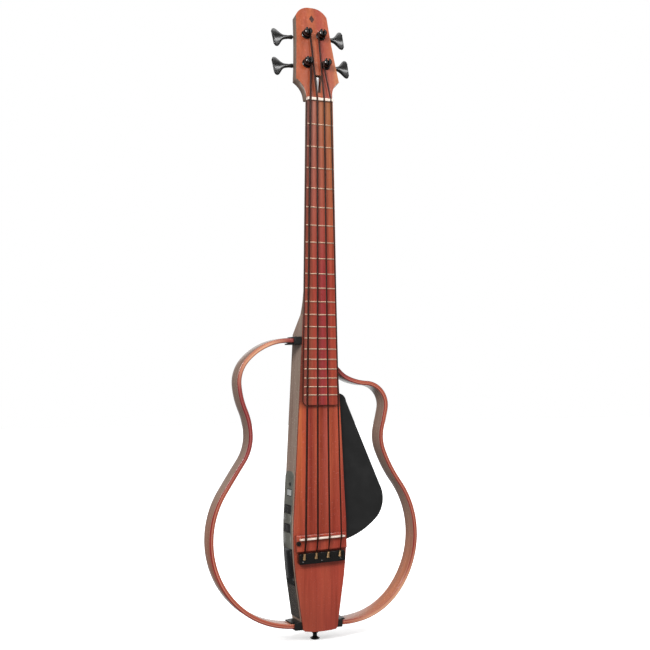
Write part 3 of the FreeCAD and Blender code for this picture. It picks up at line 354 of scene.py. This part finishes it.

# Each wood's side tone is painted: the lacquer's grey sheen on the body's, neck's and bows' walls, shade on the
# fretboard's edge.
FINISHES = {
    # front_wood's last zone is the fretboard's painted shadow on the body beside it.
    "front_wood": wood("front_wood", FOOT_LOW_BANDS, tone(134, 64, 52), 49 * MM,
                       zones=((0.02, 0.10, FOOT_BANDS), (0.17, 0.33, BODY_BANDS),
                              (0.385, 0.40, FRETBOARD_SHADOW_BANDS))),
    "body_wood": wood("body_wood", BODY_BANDS, WALL_SHEEN_TAUPE, 49 * MM, back=tone(150, 78, 56)),
    "neck_wood": wood("neck_wood", HEAD_BANDS, tone(136, 116, 104), 41 * MM,
                      back=tone(158, 84, 58)),
    "board_wood": wood("board_wood", BOARD_BANDS, tone(62, 30, 24), 30 * MM, gloss=0.3,
                       zones=((0.62, 0.92, BOARD_TOP_BANDS),)),
    # bow_wood's two pale zones are painted highlights, at the upper left and the lower right.
    "bow_wood": wood("bow_wood", BOW_BANDS, tone(150, 129, 116), 4 * MM, attribute="grain_at",
                     back=tone(160, 74, 58), lamination=2.0 * MM,
                     zones=((0.24, 0.32, BOW_HIGH_BANDS, 0.085, 0.05),
                            (0.42, 0.475, BOW_HIGHLIGHT_BANDS, -0.055, -0.09),
                            (0.14, 0.07, BOW_HIGHLIGHT_BANDS, 0.05, 0.10))),
    "bone": bone("bone"),
    "fret_metal": brushed("fret_metal", tone(236, 202, 174), 0.42, (40, 900, 900), metallic=0.45),
    "brass": brushed("brass", tone(204, 164, 118), 0.34, (400, 400, 400), metallic=0.7),
    "string_wrap": wound_string("string_wrap", tone(44, 18, 10)),
    "black_hardware": plain("black_hardware", tone(18, 17, 16), 0.27, metallic=0.1, depth=0.02,
                            coat=0.4),
    "plate_plastic": plain("plate_plastic", tone(25, 25, 25), 0.6, depth=0.08),
    "socket_plastic": plain("socket_plastic", tone(28, 28, 27), 0.34),
    "panel_plastic": plain("panel_plastic", tone(108, 108, 100), 0.24, depth=0.03, coat=0.3),
    "door_plastic": plain("door_plastic", tone(12, 13, 14), 0.24, depth=0.02),
    "cover_plastic": plain("cover_plastic", tone(68, 64, 60), 0.26, depth=0.03, coat=0.3),
    "control_plastic": plain("control_plastic", tone(40, 39, 38), 0.42),
    "display_glass": display("display_glass"),
    "circuit_green": board_finish("circuit_green"),
    "battery_case": plain("battery_case", tone(60, 62, 70), 0.3, metallic=0.5, coat=0.4),
    # Painted highlight: the steel is drawn near-white and mostly not metal, so the truss rod's adjuster shows as
    # bright as its reflection.
    "steel": brushed("steel", tone(246, 246, 246), 0.4, (900, 900, 60), metallic=0.3),
    "jack_metal": brushed("jack_metal", tone(196, 196, 194), 0.3, (500, 500, 500)),
    "pickup_metal": brushed("pickup_metal", tone(206, 182, 130), 0.35, (60, 900, 900)),
    "wire_black": plain("wire_black", tone(24, 24, 24), 0.5),
    "inlay_dark": plain("inlay_dark", tone(62, 30, 22), 0.3),
}


# ---------------------------------------------------------------- mesh helpers

SHARP_DEG = 32.0
TURNED_SIDES = 40
CURVE_STEPS = 5


def soften_edges(piece, width):
    """Weld and bevel, as modifiers, so that every hard edge catches light."""
    weld = piece.modifiers.new("weld", "WELD")
    weld.merge_threshold = 1e-6
    bevel = piece.modifiers.new("bevel", "BEVEL")
    bevel.width = width
    bevel.segments = 2
    bevel.limit_method = "ANGLE"
    bevel.angle_limit = math.radians(SHARP_DEG)
    bevel.harden_normals = True


class Shape:
    """Points, faces and marks of one piece, gathered shell by shell."""

    def __init__(self):
        self.points = []
        self.faces = []
        self.marks = []

    def rings(self, rings, marks=None):
        """Join each closed ring of points to the next, and close both ends."""
        start = len(self.points)
        count = len(rings[0])
        for row, ring in enumerate(rings):
            self.points.extend(ring)
            self.marks.extend(marks[row] if marks else [(0, 0, 0)] * count)
        for row in range(len(rings) - 1):
            for column in range(count):
                a = start + row * count + column
                b = start + row * count + (column + 1) % count
                self.faces.append((a, b, b + count, a + count))
        self.faces.append(tuple(range(start, start + count)))
        self.faces.append(tuple(range(len(self.points) - count, len(self.points))))

    def turned(self, profile, origin, axis):
        """A solid of revolution; the profile is (distance along the axis, radius) pairs."""
        first = axis.orthogonal().normalized()
        second = axis.cross(first)
        turns = [2 * math.pi * index / TURNED_SIDES for index in range(TURNED_SIDES)]
        self.rings([[origin + axis * along
                     + (first * math.cos(turn) + second * math.sin(turn)) * radius
                     for turn in turns] for along, radius in profile])

    def box(self, low, high):
        """A block whose marks lay the grain along X."""
        rings = []
        for z in (low[2], high[2]):
            rings.append([Vector(p + (z,)) for p in ((low[0], low[1]), (high[0], low[1]),
                                                     (high[0], high[1]), (low[0], high[1]))])
        self.rings(rings, [[(p.z, p.y, p.x) for p in ring] for ring in rings])


def smooth_line(points):
    """Open Catmull-Rom curve through flat points."""
    points = [Vector(p) for p in points]
    points = [points[0] * 2 - points[1]] + points + [points[-1] * 2 - points[-2]]
    line = []
    for p0, p1, p2, p3 in zip(points, points[1:], points[2:], points[3:]):
        for step in range(CURVE_STEPS):
            t = step / CURVE_STEPS
            line.append((p1 * 2 + (p2 - p0) * t + (p0 * 2 - p1 * 5 + p2 * 4 - p3) * t * t
                         + (p1 * 3 - p0 - p2 * 3 + p3) * t ** 3) / 2)
    line.append(points[-2])
    return [(place.x, place.y) for place in line]


def make_piece(name, shape, finish, body, replaces, mark=None):
    """A mesh from a shape, ridden on a body in place of CAD nodes; mark names its attribute."""
    mesh = bpy.data.meshes.new(name)
    mesh.from_pydata([tuple(p) for p in shape.points], [], shape.faces)
    if mark:
        layer = mesh.attributes.new(mark, "FLOAT_VECTOR", "POINT")
        layer.data.foreach_set("vector", [value for vector in shape.marks for value in vector])
    mesh.update()
    fixed = bmesh.new()
    fixed.from_mesh(mesh)
    bmesh.ops.recalc_face_normals(fixed, faces=fixed.faces)
    fixed.to_mesh(mesh)
    fixed.free()
    piece = bpy.data.objects.new(name, mesh)
    bpy.context.scene.collection.objects.link(piece)
    for polygon in mesh.polygons:
        polygon.use_smooth = True
    mesh.materials.append(FINISHES[finish])
    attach(piece, body)
    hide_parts(*replaces)


# ---------------------------------------------------------------- the two wooden bows

STRIP_HALF = 4.0 * MM
STRIP_ROUND = 1.5 * MM
CORNER_STEPS = 4
TENON_HALF = 3.0
TENON_INSET = 2 * MM
BOW_STEP = 4.0 * MM
RIGHT_WALL = 35.5 * MM
WALL_CLEAR = 0.5 * MM
LEFT_BOW = {
    "start": (-46.4, 506.5),
    "heading": 176.0,
    "points": [(-131.5, 472), (-146, 428.5), (-135, 385), (-125.5, 345), (-138.5, 297),
               (-172, 245), (-140, 46), (-95.5, 20.5), (-46.4, 11)],
}
RIGHT_BOW = {
    "start": (31.5, 464.3),
    "heading": -61.0,
    "points": [(43.5, 449), (56, 440.6), (93.5, 431.5), (130.5, 384.5), (123.5, 354), (126, 310),
               (157.5, 252.5), (188, 151.5), (152, 58), (78.5, 14), (43.6, 11)],
}


def bow_line(bow):
    """(place, heading) along a chain of arcs that pass tangent into each other."""
    here = Vector((bow["start"][0], 0, bow["start"][1])) * MM
    angle = math.radians(bow["heading"])
    heading = Vector((math.cos(angle), 0, math.sin(angle)))
    line = [(here, heading)]
    for x, z in bow["points"]:
        goal = Vector((x, 0, z)) * MM
        span = goal - here
        normal = Vector((-heading.z, 0, heading.x))
        radius = span.dot(span) / (2 * span.dot(normal))
        centre = here + normal * radius
        sweep = 2 * math.atan2(span.dot(normal), span.dot(heading))
        steps = max(2, round(abs(radius * sweep) / BOW_STEP))
        for step in range(1, steps + 1):
            turn = sweep * step / steps
            new_heading = heading * math.cos(turn) + normal * math.sin(turn)
            new_normal = Vector((-new_heading.z, 0, new_heading.x))
            line.append((centre - new_normal * radius, new_heading))
        here, heading = line[-1]
    return line


def strip_section(low_y, high_y):
    """(across the strip, Y) round a rectangle with rounded corners."""
    section = []
    corners = ((1, high_y, 0), (-1, high_y, 90), (-1, low_y, 180), (1, low_y, 270))
    for side, y, start in corners:
        centre_y = y - STRIP_ROUND if y == high_y else y + STRIP_ROUND
        for step in range(CORNER_STEPS + 1):
            turn = math.radians(start + 90 * step / CORNER_STEPS)
            section.append((side * (STRIP_HALF - STRIP_ROUND) + STRIP_ROUND * math.cos(turn),
                            centre_y + STRIP_ROUND * math.sin(turn)))
    return section


def make_bow(name, node, body, bow, tenons, wall=None):
    """A bent strip and its tenons (low X, high X, Z); at a wall it is cut off flush."""
    low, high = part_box(node)
    section = strip_section(low.y, high.y)
    rings, marks = [], []
    length = 0.0
    before = None
    for place, heading in bow_line(bow):
        length += (place - before).length if before else 0.0
        before = place
        across = Vector((-heading.z, 0, heading.x))
        ring = [place + across * offset + Vector((0, y, 0)) for offset, y in section]
        mark = [(offset, y, length) for offset, y in section]
        if wall is not None and not rings:
            if min(p.x for p in ring) < wall + WALL_CLEAR:
                continue
            rings.append([p + heading * ((wall - p.x) / heading.x) for p in ring])
            marks.append(mark)
        rings.append(ring)
        marks.append(mark)
    shape = Shape()
    shape.rings(rings, marks)
    for x_low, x_high, z in tenons:
        shape.box((x_low * MM, low.y + TENON_INSET, (z - TENON_HALF) * MM),
                  (x_high * MM, high.y - TENON_INSET, (z + TENON_HALF) * MM))
    make_piece(name, shape, "bow_wood", body, (node,), "grain_at")


def make_bows():
    """Both bows have a tenon at each end; the right one's top is cut off at the body's wall."""
    make_bow("left_bow_strip", "left_frame", "left_bow", LEFT_BOW,
             ((-48, -37, 11), (-48, -37, 506.5)))
    make_bow("right_bow_strip", "right_frame", "right_bow", RIGHT_BOW,
             ((37, 48, 11), (22, 37, 461)), RIGHT_WALL)


# ---------------------------------------------------------------- strings

STRING_RADII = {"e": 1.9, "a": 1.7, "d": 1.5, "g": 1.3}
SADDLE_X = {"e": -33.3, "a": -11.1, "d": 11.1, "g": 33.3}
NUT_X = {"e": -19.6, "a": -6.6, "d": 6.6, "g": 19.6}
SADDLE_SLANT = math.tan(math.radians(2.1))
SADDLE_RISE = 15.0 * MM
TAIL_RISE = 8.2 * MM
NUT_CLEAR = 0.5 * MM
TAIL_Z = 134.5 * MM
SADDLE_Z = 163 * MM
NUT_CREST = 1.5 * MM
BEND_RADIUS = 30 * MM
BEND_STEPS = 8
POST_RADIUS = 4.2 * MM
POST_GAP = 0.15 * MM
POST_STEPS = 64
TURN_GAP = 0.1 * MM
FLAT_SHARE = 0.12
END_TAPER = 0.55
STRING_SIDES = 14


def rounded(points, radius):
    """A line through points whose inner corners are replaced by arcs."""
    line = [points[0]]
    for before, corner, after in zip(points, points[1:], points[2:]):
        a = (before - corner).normalized()
        b = (after - corner).normalized()
        half = a.angle(b) / 2
        reach = radius / math.tan(half)
        middle = (a + b).normalized()
        centre = corner + middle * (radius / math.sin(half))
        start = (corner + a * reach - centre).normalized()
        end = (corner + b * reach - centre).normalized()
        for step in range(BEND_STEPS + 1):
            line.append(centre + start.slerp(end, step / BEND_STEPS).normalized() * radius)
    line.append(points[-1])
    return line


def string_line(name):
    """Centre line from the tailpiece over the saddle and nut and round the post."""
    radius = STRING_RADII[name] * MM
    x = SADDLE_X[name] * MM
    tail = Vector((x, BODY_FRONT - TAIL_RISE - radius, TAIL_Z + x * SADDLE_SLANT))
    saddle = Vector((x, BODY_FRONT - SADDLE_RISE - radius, SADDLE_Z + x * SADDLE_SLANT))
    nut = Vector((NUT_X[name] * MM, FRET_TOP - NUT_CLEAR - radius, NUT_Z + NUT_CREST))
    post = Vector(JOINTS["post_turn_" + name]["pos_m"])
    side = -1 if post.x < 0 else 1
    wind = POST_RADIUS + radius + POST_GAP
    rise = (nut - post).dot(HEAD_OUT)
    across = post.x - nut.x
    along = (post - nut).dot(HEAD_UP)
    distance = math.hypot(across, along)
    heading = math.atan2(along, across) + side * math.asin(wind / distance)
    reach = math.sqrt(distance ** 2 - wind ** 2)
    touch = (nut + Vector((1, 0, 0)) * reach * math.cos(heading)
             + HEAD_UP * reach * math.sin(heading))
    start_angle = math.atan2((touch - post).dot(HEAD_UP), touch.x - post.x)
    line = rounded([tail, saddle, nut, touch], BEND_RADIUS)
    turns = 1.0 + 0.9 * MM / radius
    climb = 2 * radius + TURN_GAP
    for step in range(1, POST_STEPS + 1):
        turn = 2 * math.pi * turns * step / POST_STEPS
        angle = start_angle - side * turn
        lift = rise + climb * max(0.0, turn / (2 * math.pi) - FLAT_SHARE)
        line.append(post + Vector((1, 0, 0)) * wind * math.cos(angle)
                    + HEAD_UP * wind * math.sin(angle) + HEAD_OUT * lift)
    return line, radius


def make_string(name):
    """A round string along its line, marked with its angle and length for the winding."""
    line, radius = string_line(name)
    shape = Shape()
    rings, marks = [], []
    length = 0.0
    side_axis = Vector((1, 0, 0))
    for index, place in enumerate(line):
        before = line[max(0, index - 1)]
        after = line[min(len(line) - 1, index + 1)]
        heading = (after - before).normalized()
        side_axis = (side_axis - heading * side_axis.dot(heading)).normalized()
        up_axis = heading.cross(side_axis)
        length += (place - before).length
        size = radius * (END_TAPER if index in (0, len(line) - 1) else 1.0)
        turns = [2 * math.pi * column / STRING_SIDES for column in range(STRING_SIDES)]
        rings.append([place + (side_axis * math.cos(turn) + up_axis * math.sin(turn)) * size
                      for turn in turns])
        marks.append([(column / STRING_SIDES, 0, length) for column in range(STRING_SIDES)])
    shape.rings(rings, marks)
    make_piece("wound_string_" + name, shape, "string_wrap", "instrument", ("string_" + name,),
               "wound_at")


WRAP_START = -6.5
WRAP_LENGTH = 10.4
WRAP_RADIUS = 3.0
WRAP_PROUD = 0.12
WRAP_TAPER = 0.8
WRAP_RIDGE = 0.16
WRAP_RIDGES = 8
WRAP_STEPS = 36
WRAP_SIDES = 24


def make_ball_ends():
    """Twisted brass wraps at the tail ends, with ridges that run round them."""
    shape = Shape()
    for name, radius in STRING_RADII.items():
        line, _ = string_line(name)
        axis = (line[1] - line[0]).normalized()
        first = axis.orthogonal().normalized()
        second = axis.cross(first)
        rings = []
        for step in range(WRAP_STEPS + 1):
            share = step / WRAP_STEPS
            size = WRAP_RADIUS + (radius + WRAP_PROUD - WRAP_RADIUS) * share ** WRAP_TAPER
            place = line[0] + axis * (share * WRAP_LENGTH + WRAP_START) * MM
            ring = []
            for column in range(WRAP_SIDES):
                turn = 2 * math.pi * column / WRAP_SIDES
                ridge = WRAP_RIDGE * math.sin(turn + share * 2 * math.pi * WRAP_RIDGES)
                reach = (size - WRAP_RIDGE + ridge) * MM
                ring.append(place + (first * math.cos(turn) + second * math.sin(turn)) * reach)
            rings.append(ring)
        shape.rings(rings)
    make_piece("ball_end_wraps", shape, "brass", "instrument", ("string_ball_ends",))


# ---------------------------------------------------------------- tuner keys

SHAFT_PROFILE = ((-13, 1.6), (-12.6, 2.0), (17.0, 2.0), (17.2, 3.6), (17.8, 4.0), (20.0, 4.0),
                 (20.6, 3.5), (21.0, 3.6), (29.6, 3.1), (31.5, 2.4), (33.0, 1.2))
KEY_START = 27.0
KEY_HALF_DEPTH = 3.5
KEY_FALL = 1.5
KEY_RIDGE = 8.0
KEY_PROFILE = ((0, 3.2), (3.5, 3.5), (7.0, 4.3), (10.4, 6.4), (13.2, 9.6), (15.6, 13.2),
               (18.0, 16.2), (20.6, 17.8), (23.2, 17.7), (25.2, 16.0), (26.2, 13.0))
KEY_END = 26.2
KEY_NOTCH = 1.7
KEY_NOTCH_HALF = 13.0
KEY_ROUND = 0.45
KEY_END_STEPS = 4
KEY_END_ROUND = 0.28
KEY_END_THIN = 0.24
KEY_END_PULL = 1.2
KEY_SIDES = 64
WORM_START = -6.4
WORM_LENGTH = 11.8
WORM_CORE = 2.0
WORM_CREST = 2.58
WORM_PITCH = 2.1
WORM_STEPS = 96
WORM_FADE_STEPS = 8
THREAD_TOP = 1.6
THREAD_SLOPE = 5.0
WORM_SIDES = 28


def key_crown(y):
    """Half the key's depth at y: a ridge along the middle, and lobes that fall away from it."""
    return KEY_HALF_DEPTH - KEY_FALL * (math.sqrt(1 + (y / KEY_RIDGE) ** 2) - 1)


def key_rings(place):
    """Cross-sections of the key from its stem to its notched end."""
    profile = smooth_line(KEY_PROFILE)
    rings = []
    for index, (x, half) in enumerate(profile + [profile[-1]] * KEY_END_STEPS):
        ends = max(0, index - len(profile) + 1)
        thin = math.sqrt(1 - (KEY_END_THIN * ends) ** 2)
        ring = []
        for column in range(KEY_SIDES):
            turn = 2 * math.pi * column / KEY_SIDES
            y = math.cos(turn) * (half - KEY_END_PULL * (1 - thin))
            notch = 1 + KEY_NOTCH / KEY_END * min(1.0, abs(y) / KEY_NOTCH_HALF) ** 2
            bulge = math.copysign(abs(math.sin(turn)) ** KEY_ROUND, math.sin(turn))
            z = bulge * key_crown(y) * thin
            ring.append(place(KEY_START + x * notch + KEY_END_ROUND * ends, y, z))
        rings.append(ring)
    return rings


def worm_rings(centre, outward, up):
    """Cross-sections of the worm, whose ridge runs round it as a thread and fades at the ends."""
    rings = []
    for step in range(WORM_STEPS + 1):
        at = WORM_START + WORM_LENGTH * step / WORM_STEPS
        fade = min(1.0, step / WORM_FADE_STEPS, (WORM_STEPS - step) / WORM_FADE_STEPS)
        ring = []
        for column in range(WORM_SIDES):
            turn = 2 * math.pi * column / WORM_SIDES
            phase = (at / WORM_PITCH - column / WORM_SIDES) % 1.0
            crest = max(0.0, min(1.0, THREAD_TOP - abs(phase - 0.5) * THREAD_SLOPE))
            reach = (WORM_CORE + (WORM_CREST - WORM_CORE) * crest * fade) * MM
            ring.append(centre + outward * at * MM
                        + (up * math.cos(turn) + HEAD_OUT * math.sin(turn)) * reach)
        rings.append(ring)
    return rings


def make_key(name):
    """Worm, shaft, stem and a two-lobed key with a ridge along its middle."""
    joint = JOINTS["key_turn_" + name]
    centre = Vector(joint["pos_m"])
    side = -1 if centre.x < 0 else 1
    outward = Vector(joint["axis"]).normalized() * side
    up = HEAD_OUT.cross(outward) * side
    shape = Shape()
    shape.turned([(at * MM, radius * MM) for at, radius in SHAFT_PROFILE], centre, outward)
    shape.rings(worm_rings(centre, outward, up))
    shape.rings(key_rings(lambda x, y, z: centre + (outward * x + up * y + HEAD_OUT * z) * MM))
    make_piece("peg_key_" + name, shape, "black_hardware", "key_" + name, ("tuner_key_" + name,))


# ---------------------------------------------------------------- carried-over CAD nodes

EDGE_WIDTHS = {
    "front_board": 0.9 * MM, "fretboard": 0.6 * MM, "side_plate": 0.8 * MM, "neck": 0.7 * MM,
    "body_core": 0.5 * MM, "tailpiece": 0.3 * MM, "bridge_base": 0.7 * MM, "saddle": 0.5 * MM,
    "nut": 0.4 * MM, "control_panel": 0.35 * MM, "battery_door": 0.4 * MM,
    "lower_side_cover": 0.4 * MM, "wheel_bezels": 0.3 * MM, "display_window": 0.3 * MM,
    "socket_lower_left": 0.6 * MM, "socket_lower_right": 0.6 * MM, "socket_upper_left": 0.6 * MM,
    "socket_upper_right": 0.6 * MM, "tuner_plates": 0.3 * MM, "side_plate_brackets": 0.4 * MM,
    "end_button": 0.4 * MM, "heel_button": 0.4 * MM, "frets": 0.15 * MM, "battery": 0.8 * MM,
}


def dress_cad_nodes():
    """Give each CAD node the finish of its slot in the record, and soften its edges."""
    slots = {part["node"]: part["material_slot"] for part in frame["record"]["subparts"]}
    for name, node in NODES.items():
        node.data.materials.clear()
        node.data.materials.append(FINISHES[slots[name]])
        if name in EDGE_WIDTHS:
            soften_edges(node, EDGE_WIDTHS[name])


# ---------------------------------------------------------------- floor, lights, camera

FLOOR_HALF = 9.0
FLOOR_GAP = 0.5 * MM


def make_stage():
    """A pale floor whose own light rises outward until it meets the white backdrop."""
    floor_z = CAD_BOX[0].z - FLOOR_GAP
    corners = ((-FLOOR_HALF, -FLOOR_HALF), (FLOOR_HALF, -FLOOR_HALF), (FLOOR_HALF, FLOOR_HALF),
               (-FLOOR_HALF, FLOOR_HALF))
    floor = bpy.data.objects.new("floor", bpy.data.meshes.new("floor"))
    floor.data.from_pydata([(x, y, floor_z) for x, y in corners], [], [(0, 1, 2, 3)])
    g = Graph("floor_finish")
    here = g.at()
    speck = g.noise(here, 60.0, 4)
    away = g.add("VectorMath", {0: here}, operation="LENGTH").outputs["Value"]
    glow = g.span(away, 0.1, 0.9, 0.55, 1.0)
    g.shader.inputs["Specular IOR Level"].default_value = 0.0
    g.shader.inputs["Emission Color"].default_value = (1, 1, 1, 1)
    g.feed(g.shader.inputs["Emission Strength"], glow)
    floor.data.materials.append(g.done(g.ramp(speck, [(0.3, 0.86), (0.7, 0.92)]), 0.8))
    floor.visible_glossy = False
    floor.visible_diffuse = False
    bpy.context.scene.collection.objects.link(floor)


def make_world():
    """White backdrop; soft light from the front and above, little of it from behind.

    Reflections see less of it, and a bright card that stands behind on the right.
    """
    world = bpy.data.worlds.new("studio")
    world.use_nodes = True
    tree = world.node_tree
    backdrop = tree.nodes["Background"]
    backdrop.inputs["Color"].default_value = (1, 1, 1, 1)
    where = tree.nodes.new("ShaderNodeTexCoord").outputs["Generated"]
    split = tree.nodes.new("ShaderNodeSeparateXYZ")
    tree.links.new(where, split.inputs["Vector"])

    def span(value, low, high, to_low, to_high):
        node = tree.nodes.new("ShaderNodeMapRange")
        node.interpolation_type = "SMOOTHSTEP"
        for name, number in (("From Min", low), ("From Max", high), ("To Min", to_low),
                             ("To Max", to_high)):
            node.inputs[name].default_value = number
        tree.links.new(value, node.inputs["Value"])
        return node.outputs["Result"]

    def glow(first, second):
        total = tree.nodes.new("ShaderNodeMath")
        tree.links.new(first, total.inputs[0])
        tree.links.new(second, total.inputs[1])
        shader = tree.nodes.new("ShaderNodeBackground")
        tree.links.new(total.outputs["Value"], shader.inputs["Strength"])
        return shader.outputs["Background"]

    def either(choice, first, second):
        mixer = tree.nodes.new("ShaderNodeMixShader")
        tree.links.new(choice, mixer.inputs["Fac"])
        tree.links.new(first, mixer.inputs[1])
        tree.links.new(second, mixer.inputs[2])
        return mixer.outputs["Shader"]

    paper = tree.nodes.new("ShaderNodeVectorMath")
    paper.operation = "DOT_PRODUCT"
    paper.inputs[1].default_value = (0.42, 0.907, 0.0)
    tree.links.new(where, paper.inputs[0])
    soft = glow(span(split.outputs["Y"], 0.35, -0.9, 0.14, 0.62),
                span(split.outputs["Z"], 0.2, 1.0, 0.0, 0.6))
    mirrored = glow(span(split.outputs["Y"], 0.2, -0.9, 0.10, 0.20),
                    span(paper.outputs["Value"], 0.80, 0.96, 0.0, 1.0))
    path = tree.nodes.new("ShaderNodeLightPath").outputs
    lit = either(path["Is Glossy Ray"], soft, mirrored)
    seen = either(path["Is Camera Ray"], lit, backdrop.outputs["Background"])
    tree.links.new(seen, tree.nodes["World Output"].inputs["Surface"])
    bpy.context.scene.world = world


def make_light(name, at, size, power, goal=(0, 0, 0.55)):
    """A white rectangular lamp that faces its goal."""
    light = bpy.data.lights.new(name, "AREA")
    light.shape = "RECTANGLE"
    light.size, light.size_y = size
    light.energy = power
    lamp = bpy.data.objects.new(name, light)
    lamp.location = at
    lamp.rotation_euler = (Vector(goal) - Vector(at)).to_track_quat("-Z", "Y").to_euler()
    bpy.context.scene.collection.objects.link(lamp)


def make_lights():
    """A key at the front left, one above, one on the headstock, and a sheen from behind."""
    make_light("key", (-2.3, -2.4, 2.2), (1.3, 1.3), 110)
    make_light("top_box", (0.1, -0.4, 3.0), (1.6, 0.9), 18)
    make_light("ridge_strip", (1.0, -2.4, 2.5), (1.3, 0.45), 22, goal=(0, 0, 1.07))
    make_light("left_sheen", (-1.9, 1.4, 0.7), (0.4, 1.8), 8)


def make_camera():
    """A camera at the front left, below the middle, that looks slightly up and to the right."""
    camera = bpy.data.objects.new("camera", bpy.data.cameras.new("camera"))
    camera.data.lens = CAMERA_LENS
    camera.data.sensor_width = 36
    camera.data.clip_end = 60
    camera.location = CAMERA_AT
    camera.rotation_euler = [math.radians(angle) for angle in CAMERA_TURN_DEG]
    bpy.context.scene.collection.objects.link(camera)
    bpy.context.scene.camera = camera
    bpy.context.scene.view_settings.view_transform = "Standard"


make_camera()
make_world()
make_lights()
make_stage()
dress_cad_nodes()
make_bows()
for string_name in STRING_RADII:
    make_string(string_name)
    make_key(string_name)
make_ball_ends()
